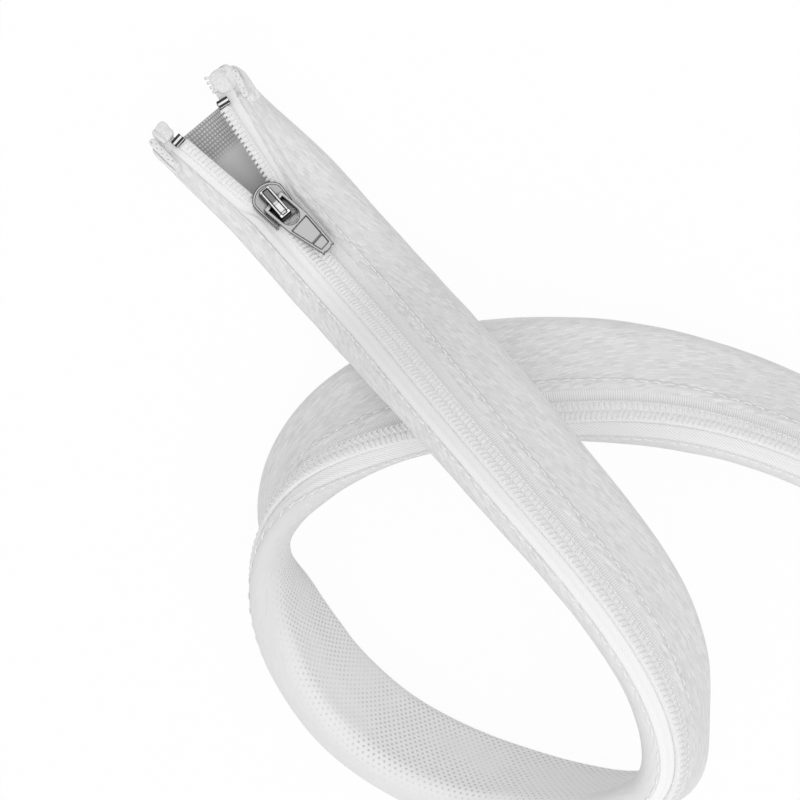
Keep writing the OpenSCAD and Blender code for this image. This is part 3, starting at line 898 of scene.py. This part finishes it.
def loose_end(line, sizes, zipper, side, word):
    """The tape on one side of the mouth, from the end beyond the stop into the slider."""
    columns, near = 60, SEWN_X + 0.4 * MM
    inner, tucked = 1.3 * MM, 0.9 * MM
    level = sizes.thickness - zipper.tape_depth - 0.02 * MM
    fold_q = fold_and_hem(sizes, side)[0]

    def opening(x):
        return parted(x) * (HINGE_X - x) * math.tan(OPEN_ANGLE)

    def cut(u, v):
        x = lerp(TAPE_END_X, near, u)
        outer = mouth_edges(line, fold_q, side, x)[0] + tucked
        return x, side * lerp(inner, outer - opening(x), v)

    def place(u, v):
        x, y = cut(u, v)
        fold = mouth_edges(line, fold_q, side, x)[0] - opening(x)
        return Vector((x, y + side * opening(x), level + tape_rise(zipper, abs(y), fold)))

    bm = cloth_grid(columns, TAPE_ROWS, place, cut, side)
    part_at(bm, near)
    tape = mesh_object(f"{word}_flap_tape", bm, finishes()["tape"])
    thicken(tape, zipper.tape_thickness)
    ride_mouth(tape)
    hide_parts(f"{word}_tape_end")


class CABLESLEEVE_OT_tapes(bpy.types.Operator):
    """Weaves the zipper tapes along the sleeve and on the two sides of the mouth"""

    bl_idname = "cablesleeve.tapes"
    bl_label = "Zipper Tapes"

    def execute(self, context):
        sizes, zipper, line = measures()
        inner, outer = 0.25 * MM, zipper.tape_width
        end = line.far - 0.5 * MM
        for side, word in SIDES:
            fold = fold_and_hem(sizes, side)[0]

            def cut(u, v):
                return lerp(SEWN_X, end, u), side * lerp(inner, outer, v)

            def place(u, v):
                s, q = cut(u, v)
                return line.skin(s, q, zipper.tape_depth - tape_rise(zipper, abs(q), fold))

            bm = cloth_grid(sizes.columns, TAPE_ROWS, place, cut, side)
            part_at(bm, SEWN_X)
            tape = mesh_object(f"{word}_zipper_tape", bm, finishes()["tape"])
            thicken(tape, zipper.tape_thickness)
            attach(tape, "sleeve")
            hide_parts(f"{word}_tape")
            loose_end(line, sizes, zipper, side, word)
        return {"FINISHED"}


def wound(shape, starts, at):
    """Copies of a small shape in a row, bent to follow the zipper."""
    bm = row_of(shape, [Matrix.Translation((s, 0, 0)) for s in starts])
    for vert in bm.verts:
        vert.co = at(*vert.co)
    turn_outward(bm)
    return bm


def coil_core(zipper, name, at, span, inner):
    """The soft cord that fills a coil, so that only the tops of its turns show."""
    outer = zipper.chain_width / 2 - 0.02 * MM
    squareness, sides = 0.3, 16
    columns = round(2 * (span[1] - span[0]) / zipper.coil_pitch)

    def ring(v):
        a = 2 * math.pi * v
        out, high = (pressed(c, squareness) for c in (math.cos(a), math.sin(a)))
        rise = lerp(zipper.core_low, zipper.core_high, (1 + high) / 2)
        return lerp(inner, outer, (1 + out) / 2), rise

    def place(u, v):
        return at(lerp(*span, u), *ring(v))

    def cut(u, v):
        return lerp(*span, u), v * (outer - inner)

    bm = cloth_grid(columns, sides, place, cut)
    bmesh.ops.remove_doubles(bm, verts=bm.verts, dist=0.001 * MM)
    bmesh.ops.holes_fill(bm, edges=[e for e in bm.edges if e.is_boundary])
    turn_outward(bm)
    return mesh_object(name, bm, finishes()["cord"])


def coil_turn(zipper, spread):
    """One turn of coil: up over the foot, across the top and down at its head."""
    r = zipper.filament / 2
    foot, head = zipper.chain_width / 2 - r, -0.35 * MM + r
    low, high = r, zipper.coil_height - r
    slant = zipper.coil_pitch * (0.18 if spread == 1 else 0.06)
    points = (
        (-slant, foot - 0.3 * MM, low), (-slant, foot, lerp(low, high, 0.55)),
        (-slant * 0.8, foot - 0.35 * MM, high), (0, lerp(head, foot, 0.5), high),
        (slant * 0.8, head + 0.3 * MM, high), (slant, head, lerp(low, high, 0.5)),
        (slant, head + 0.25 * MM, low),
    )
    bm = tube(points, r)
    bmesh.ops.scale(bm, vec=(spread, 1, 1), verts=bm.verts)
    return bm


def thread_lock(zipper, lift):
    """One lock of the sewing thread, lying over a turn."""
    half = zipper.coil_pitch * 0.3
    at = zipper.chain_width / 2 - 0.7 * MM
    top = zipper.coil_height + lift
    points = (
        (-half, at - 0.14 * MM, top - 0.3 * MM), (-half * 0.4, at - 0.05 * MM, top),
        (half * 0.4, at + 0.05 * MM, top), (half, at + 0.14 * MM, top - 0.3 * MM),
    )
    return tube(points, 0.16 * MM, 5)


class CABLESLEEVE_OT_coils(bpy.types.Operator):
    """Winds the coil of each side, with the thread that sews it to its tape"""

    bl_idname = "cablesleeve.coils"
    bl_label = "Zipper Coils"

    def execute(self, context):
        sizes, zipper, line = measures()
        pitch = zipper.coil_pitch
        depth = zipper.tape_depth - 0.1 * MM
        last = line.far - 7.2 * MM
        turns = round((last - SEWN_X) / pitch)
        level = sizes.thickness - depth
        free = round((SEWN_X - MOUTH_X) / pitch)
        step = (SEWN_X - MOUTH_X) / free
        for side, word in SIDES:
            phase = 0.25 if side == LEFT else 0.75
            swing = flap_matrix(side)

            def along_loop(s, q, high):
                return line.skin(s, side * q, depth - high)

            def along_mouth(x, q, high):
                shut = Vector((x, side * q, level + high))
                return shut.lerp(swing @ Vector((x, q, level + high)), parted(x))

            closed = [SEWN_X + (k + phase) * pitch for k in range(turns)]
            loose = [MOUTH_X + (k + phase) * step for k in range(free)]
            shut_inner, open_inner = -0.05 * MM, (0.5 if side == LEFT else -0.25) * MM
            lift = (0.02 if side == LEFT else -0.14) * MM
            for name, node, starts, at, first, final, inner, spread in (
                ("coil_row", "coil", closed, along_loop, SEWN_X, last, shut_inner, 1.0),
                ("mouth_coil", "coil_end", loose, along_mouth, MOUTH_X, SEWN_X, open_inner, 1.3),
            ):
                name, node = f"{word}_{name}", f"{word}_{node}"
                shape = coil_turn(zipper, spread)
                coil = mesh_object(name, wound(shape, starts, at), finishes()["nylon"])
                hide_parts(node)
                lock = thread_lock(zipper, lift)
                sewn = mesh_object(f"{name}_thread", wound(lock, starts, at), finishes()["thread"])
                cord = coil_core(zipper, f"{name}_core", at, (first, final), inner)
                for piece in (coil, sewn, cord):
                    if at is along_loop:
                        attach(piece, "sleeve")
                    else:
                        ride_mouth(piece)
        return {"FINISHED"}


def seam_stitch(zipper):
    """One stitch: thread that rises out of the cloth and dives back in."""
    half, r = zipper.stitch_length / 2, zipper.thread / 2
    points = (
        (-half, 0, -0.35 * MM), (-half * 0.75, 0, -0.05 * MM), (0, 0, 0.08 * MM),
        (half * 0.75, 0, -0.05 * MM), (half, 0, -0.35 * MM),
    )
    return tube(points, r)


class CABLESLEEVE_OT_seams(bpy.types.Operator):
    """Sews the seam that holds each tape under the folded edge of the cloth"""

    bl_idname = "cablesleeve.seams"
    bl_label = "Seam Stitches"

    def execute(self, context):
        sizes, zipper, line = measures()
        count = int((line.far - 4 * MM) / zipper.stitch_pitch)
        for side, word in SIDES:
            q = side * sum(fold_and_hem(sizes, side))
            sunk = (-0.1 if side == LEFT else 0.06) * MM
            places = []
            for k in range(count):
                sway = Matrix.Rotation(math.radians(5 * math.sin(k * 2.4)), 4, "Z")
                places.append(line.seat((k + 0.5) * zipper.stitch_pitch, q, sunk) @ sway)
            row = row_of(seam_stitch(zipper), places)
            seam = mesh_object(f"{word}_seam_thread", row, finishes()["thread"])
            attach(seam, "sleeve")
        return {"FINISHED"}


# The mouth's ends

# Soft ends of each side of the mouth in its closed place: middle, half sizes and turn, in
# millimetres and degrees.
TailForm = namedtuple("TailForm", "middle half turn")
TAIL_FORMS = {
    LEFT: {
        "folded_tail": TailForm((-34.0, 4.8, 8.9), (3.0, 3.3, 1.3), 0),
        "sewn_strip": TailForm((-31.0, 7.3, 9.8), (3.6, 0.85, 0.7), -7),
        "cloth_corner": TailForm((-30.6, 7.9, 7.8), (5.4, 2.0, 1.5), 5),
    },
    RIGHT: {
        "folded_tail": TailForm((-33.2, 2.4, 8.9), (2.3, 2.2, 1.2), 0),
        "sewn_strip": TailForm((-30.0, 6.1, 9.5), (4.2, 0.85, 0.7), 4.6),
        "cloth_corner": TailForm((-28.4, 6.4, 8.0), (4.4, 1.4, 1.2), 4),
    },
}


def tail_seat(side, form):
    """Carries a soft form's own place to the open mouth."""
    turned = Matrix.Rotation(math.radians(form.turn), 4, "Z")
    return flap_matrix(side) @ Matrix.Translation(Vector(form.middle) * MM) @ turned


def tail_form(name, side, form, body):
    """One soft end: a rounded lump with a fold across it and slight puckers."""
    squareness, puckers, crease = (0.42, 0.08, 0) if name.endswith("strip") else (0.68, 0.4, 0.8)
    bm = soft_form([h * MM for h in form.half], squareness, 18)
    half_y = form.half[1] * MM
    for vert in bm.verts:
        fold = crease * swell(vert.co.y - 0.35 * half_y, 0.14 * half_y)
        at = vert.co * 420 + Vector(form.middle)
        pucker = noise.noise(at) + 0.5 * noise.noise(at * 2.3)
        vert.co += vert.normal * puckers * MM * pucker
        vert.co.z -= fold * MM * (1 if vert.co.z > 0 else 0)
    bm.transform(tail_seat(side, form))
    turn_outward(bm)
    lump = mesh_object(name, bm, finishes()["cotton"])
    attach(lump, body)
    if name.endswith("tail"):
        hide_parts(name.replace("folded", "tape"))


def strip_holes(side, word):
    """The needle holes of the seam across the tape's end: small lumps that carry painted shade where the
    holes lie.
    """
    form = TAIL_FORMS[side]["sewn_strip"]
    reach = form.half[0] * 0.78
    count = 6 if side == LEFT else 8
    places = []
    for k in range(count):
        x = lerp(-reach, reach, k / (count - 1))
        y = 0.3 * (-1) ** k * form.half[1]
        spot = Vector((x, y, form.half[2] * 0.93)) * MM
        places.append(tail_seat(side, form) @ Matrix.Translation(spot))
    shape = soft_form((0.22 * MM, 0.16 * MM, 0.1 * MM), 1.0, 5)
    holes = mesh_object(f"{word}_strip_holes", row_of(shape, places), finishes()["hole"])
    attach(holes, f"{word}_flap")


def cut_ends():
    """The coil's cut ends, which bristle out of the left tail."""
    places = []
    for x, turn in ((-35.9, -30), (-34.8, -22), (-33.7, -14), (-32.7, -6)):
        turned = Matrix.Rotation(math.radians(turn), 4, "Z")
        places.append(flap_matrix(LEFT) @ Matrix.Translation(Vector((x, 2.5, 8.8)) * MM) @ turned)
    shape = tube([Vector(p) * MM for p in ((0, 0.4, 0.2), (0, -0.8, 0.1), (0, -1.7, -0.2))], 0.36 * MM)
    ends = mesh_object("left_cut_ends", row_of(shape, places), finishes()["nylon"])
    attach(ends, "left_flap")


class CABLESLEEVE_OT_mouth_ends(bpy.types.Operator):
    """Makes the folded tape ends, the cut ends of the coil and the stops at both ends"""

    bl_idname = "cablesleeve.mouth_ends"
    bl_label = "Mouth Ends"

    def execute(self, context):
        looks = finishes()
        bands = 0.03, 0.33, 0.6, 0.9
        for side, word in SIDES:
            body = f"{word}_flap"
            along = flap_matrix(side).to_3x3() @ Vector((1, 0, 0))
            # Each stop takes painted shade on its sides, painted highlights on its top and bands of
            # painted shade across it.
            stop = solid_copy(
                f"{word}_stop", f"{word}_top_stop", looks["dark"], 0.05 * MM, looks["rail"],
                bars=(along, bands, looks["groove"]),
            )
            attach(stop, body)
            for name, form in TAIL_FORMS[side].items():
                tail_form(f"{word}_{name}", side, form, body)
            strip_holes(side, word)
        cut_ends()
        # The end stop takes the lit copy of the nickel: painted light.
        end = solid_copy("end_stop", "bottom_stop", looks["bright"], 0.12 * MM)
        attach(end, "sleeve")
        return {"FINISHED"}


class CABLESLEEVE_OT_slider(bpy.types.Operator):
    """Finishes the slider, its crown, its lock spring and the pull"""

    bl_idname = "cablesleeve.slider"
    bl_label = "Slider and Pull"

    def execute(self, context):
        looks = finishes()
        dark, bright, rail, groove = (looks[n] for n in ("dark", "bright", "rail", "groove"))
        # Frames on a top: width, drop and finish. The groove rings are painted shade where the rims'
        # walls lie in shade, with a ring of painted light on the rim between them. Each piece but the
        # spring takes painted shade on its sides and painted light on its top, painted highlights on the
        # crown.
        rim = ((0.16 * MM, 0, groove), (0.34 * MM, 0, bright), (0.16 * MM, 0.04 * MM, groove))
        line = ((0.19 * MM, 0, groove),)
        for name, node, look, bevel, lit_top, frames, body, slot in (
            ("slider_shell", "slider_body", dark, 0.04, looks["plate"], rim, "slider", "dark_nickel"),
            ("crown", "slider_crown", groove, 0.05, rail, line, "slider", "dark_nickel"),
            ("lock_leaf", "lock_spring", looks["leaf"], 0.05, None, (), "slider", "bright_nickel"),
            ("pull", "pull_tab", dark, 0.06, bright, (), "pull", "bright_nickel"),
        ):
            piece = solid_copy(name, node, look, bevel * MM, lit_top, frames)
            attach(piece, body)
        return {"FINISHED"}


# The stage

def seen(wire):
    """1 where a camera, mirror or see-through ray looks."""
    outputs = wire.node("ShaderNodeLightPath").socket.node.outputs
    kinds = "Is Camera Ray", "Is Glossy Ray", "Is Transmission Ray"
    camera, glossy, through = (Wire(wire.tree, outputs[kind]) for kind in kinds)
    return camera.math("MAXIMUM", glossy).math("MAXIMUM", through)


def lay_floor():
    """A wide pale floor that keeps a faint shadow."""
    material, wire, shader = finish("pale floor", Roughness=1.0, Specular_IOR_Level=0.0)
    shader.inputs["Base Color"].default_value = (*setting("sleeve_colours").floor, 1)
    glow = wire.node("ShaderNodeEmission", None, {"Color": (1, 1, 1, 1), "Strength": 1.0})
    share = seen(wire) * 0.95
    lit = Wire(wire.tree, shader.outputs[0])
    mixed = wire.node("ShaderNodeMixShader", None, {0: share, 1: lit, 2: glow})
    output = wire.tree.nodes["Material Output"]
    wire.tree.links.new(mixed.socket, output.inputs["Surface"])
    bm = bmesh.new()
    bmesh.ops.create_grid(bm, x_segments=4, y_segments=4, size=3)
    bmesh.ops.translate(bm, verts=bm.verts, vec=(0, 0, min(CAD_LOW.z, 0) - 0.3 * MM))
    floor = mesh_object("floor", bm, material, smooth=False)


def set_light(studio):
    """An even sky and one broad lamp."""
    world = bpy.context.scene.world or bpy.data.worlds.new("studio")
    bpy.context.scene.world = world
    world.use_nodes = True
    wire = Wire(world.node_tree)
    background = world.node_tree.nodes["Background"]
    background.inputs["Color"].default_value = (1, 1, 1, 1)
    strength = studio.sky + seen(wire) * (1 - studio.sky)
    world.node_tree.links.new(strength.socket, background.inputs["Strength"])
    lamp = bpy.data.lights.new("key", "SUN")
    lamp.energy = studio.key
    lamp.angle = studio.key_spread
    key = bpy.data.objects.new("key", lamp)
    key.rotation_euler = (0, studio.key_tilt, studio.key_bearing)
    bpy.context.scene.collection.objects.link(key)


def set_camera(studio):
    """The photograph's view."""
    a, e = studio.azimuth, studio.elevation
    back = Vector((math.sin(a) * math.cos(e), -math.cos(a) * math.cos(e), math.sin(e)))
    right = Vector((math.cos(a), math.sin(a), 0))
    up = back.cross(right)
    lens = bpy.data.cameras.new("photo view")
    lens.lens = studio.lens
    lens.sensor_width = 36
    lens.clip_start, lens.clip_end = 0.01, 20
    camera = bpy.data.objects.new("photo view", lens)
    place = Matrix((right, up, back)).transposed().to_4x4()
    aim = Vector((0, 0, 10 * MM))
    place.translation = aim + back * studio.distance + right * studio.right_shift - up * studio.down_shift
    camera.matrix_world = place
    bpy.context.scene.collection.objects.link(camera)
    bpy.context.scene.camera = camera


class CABLESLEEVE_OT_stage(bpy.types.Operator):
    """Lays the pale floor and sets the camera and the soft light"""

    bl_idname = "cablesleeve.stage"
    bl_label = "Stage"

    def execute(self, context):
        studio = setting("sleeve_studio")
        lay_floor()
        set_light(studio)
        set_camera(studio)
        context.scene.view_settings.view_transform = "Standard"
        return {"FINISHED"}


OPERATORS = (
    CABLESLEEVE_OT_stage,
    CABLESLEEVE_OT_cloth,
    CABLESLEEVE_OT_tapes,
    CABLESLEEVE_OT_coils,
    CABLESLEEVE_OT_seams,
    CABLESLEEVE_OT_mouth_ends,
    CABLESLEEVE_OT_slider,
)


class CABLESLEEVE_PT_panel(bpy.types.Panel):
    """Sizes, colours and pieces of the cable sleeve"""

    bl_idname = "CABLESLEEVE_PT_panel"
    bl_label = "Cable Sleeve"
    bl_space_type = "VIEW_3D"
    bl_region_type = "UI"
    bl_category = "Cable Sleeve"

    def draw(self, context):
        layout = self.layout
        for group in SETTINGS:
            box = layout.box()
            box.label(text=group.replace("_", " ").capitalize())
            settings = getattr(context.scene, group)
            for name in settings.__annotations__:
                box.prop(settings, name)
        for operator in OPERATORS:
            layout.operator(operator.bl_idname)


CLASSES = (*SETTINGS.values(), *OPERATORS, CABLESLEEVE_PT_panel)


def register():
    """Adds the settings, the operators and the panel."""
    for cls in CLASSES:
        bpy.utils.register_class(cls)
    for group, cls in SETTINGS.items():
        setattr(bpy.types.Scene, group, PointerProperty(type=cls))


def unregister():
    """Takes them away again."""
    for group in SETTINGS:
        delattr(bpy.types.Scene, group)
    for cls in reversed(CLASSES):
        bpy.utils.unregister_class(cls)


def main():
    """Builds every piece."""
    register()
    for operator in OPERATORS:
        group, name = operator.bl_idname.split(".")
        getattr(getattr(bpy.ops, group), name)()


if __name__ == "__main__":
    main()
